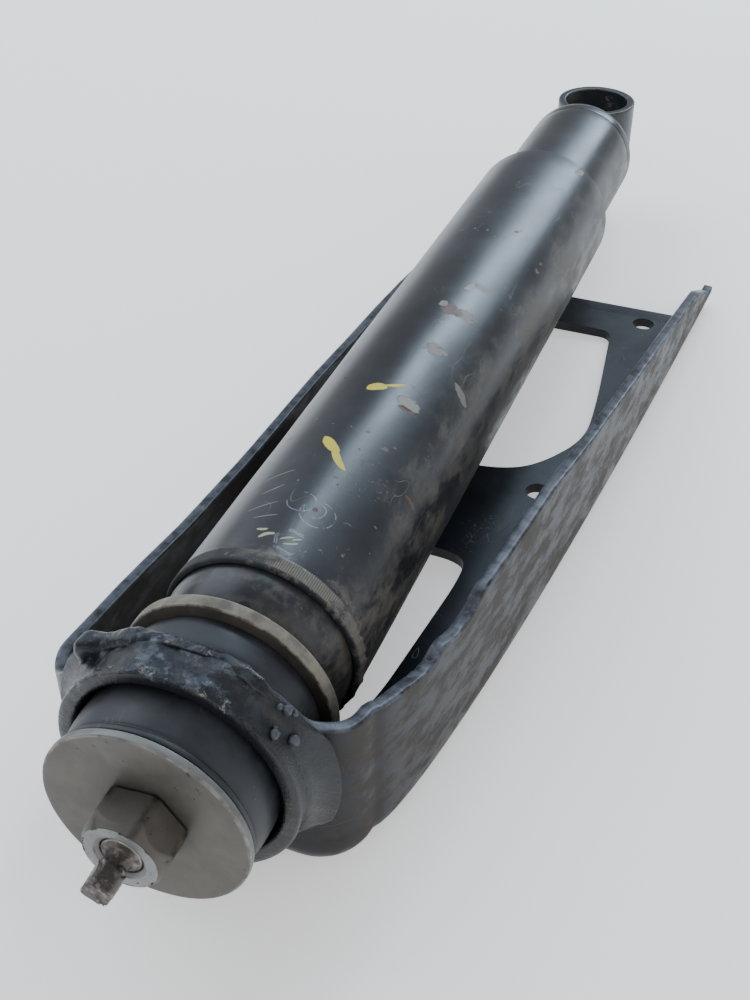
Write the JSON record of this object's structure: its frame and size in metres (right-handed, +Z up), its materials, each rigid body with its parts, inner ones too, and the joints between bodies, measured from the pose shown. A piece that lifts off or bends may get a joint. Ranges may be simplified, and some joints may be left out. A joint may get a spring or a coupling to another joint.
{
  "type": "rear shock absorber",
  "caption": "Twin-tube telescopic damper with a stem mount in a pressed steel bracket at one end and a plain eye at the other.",
  "frame": {"origin": "underside of the base plate's cross web, straight below the damper's axis", "axes": "+Y along the damper from its stem towards its eye, +Z up out of the base plate"},
  "size_m": [0.1277, 0.4967, 0.0745],
  "materials": {
    "black_paint": "worn black paint with dust and chips",
    "bare_steel": "bare machined or welded steel",
    "zinc_plate": "dull zinc plate, stained and dusty",
    "bushing_rubber": "moulded rubber, satin",
    "chrome_rod": "hard chrome rod, rolled stem",
    "sintered_iron": "sintered iron",
    "sliding_polymer": "filled sliding polymer",
    "bronze": "bronze bush"
  },
  "bodies": {
    "bracket": {"mounting_bracket": "black_paint", "bushing_collar": "black_paint", "collar_weld": "bare_steel"},
    "bushings": {"front_bushing": "bushing_rubber", "rear_bushing": "bushing_rubber"},
    "rod_side": {"spacer_sleeve": "bare_steel", "front_washer": "zinc_plate", "rear_washer": "zinc_plate", "stem_nut": "zinc_plate", "piston_rod": "chrome_rod", "dust_cap": "black_paint", "dust_tube": "black_paint", "bump_stop": "bushing_rubber", "rebound_stop": "bare_steel", "piston": "sintered_iron", "piston_band": "sliding_polymer", "piston_nut": "bare_steel"},
    "piston_valve": {"piston_valve_plate": "bare_steel"},
    "seal": {"rod_seal": "bushing_rubber"},
    "reservoir": {"reservoir_tube": "black_paint", "base_cup": "black_paint", "eye_ring": "black_paint", "rod_guide": "sintered_iron", "guide_bush": "bronze", "pressure_tube": "bare_steel", "foot_valve_body": "sintered_iron"},
    "foot_valve": {"foot_valve_disc": "bare_steel"}
  },
  "joints": [
    {"name": "bushing_pitch", "type": "hinge", "parent": "bracket", "child": "bushings", "pos_m": [0, -0.159, 0.04], "axis": [1, 0, 0], "range_deg": [-0.8, 4], "stiffness_Nm_per_rad": 900, "deforming": ["front_bushing", "rear_bushing"]},
    {"name": "bushing_yaw", "type": "hinge", "parent": "bushings", "child": "rod_side", "pos_m": [0, -0.159, 0.04], "axis": [0, 0, 1], "range_deg": [-2.5, 2.5], "stiffness_Nm_per_rad": 900},
    {"name": "stroke", "type": "slide", "parent": "rod_side", "child": "seal", "axis": [0, 1, 0], "range_m": [-0.005, 0.235]},
    {"name": "eye_spin", "type": "hinge", "parent": "seal", "child": "reservoir", "pos_m": [0, -0.105, 0.04], "axis": [0, 1, 0], "continuous": true},
    {"name": "piston_valve_lift", "type": "slide", "parent": "rod_side", "child": "piston_valve", "axis": [0, -1, 0], "range_m": [0, 0.0012], "stiffness_N_per_m": 300},
    {"name": "foot_valve_lift", "type": "slide", "parent": "reservoir", "child": "foot_valve", "axis": [0, -1, 0], "range_m": [0, 0.0012], "stiffness_N_per_m": 300}
  ]
}
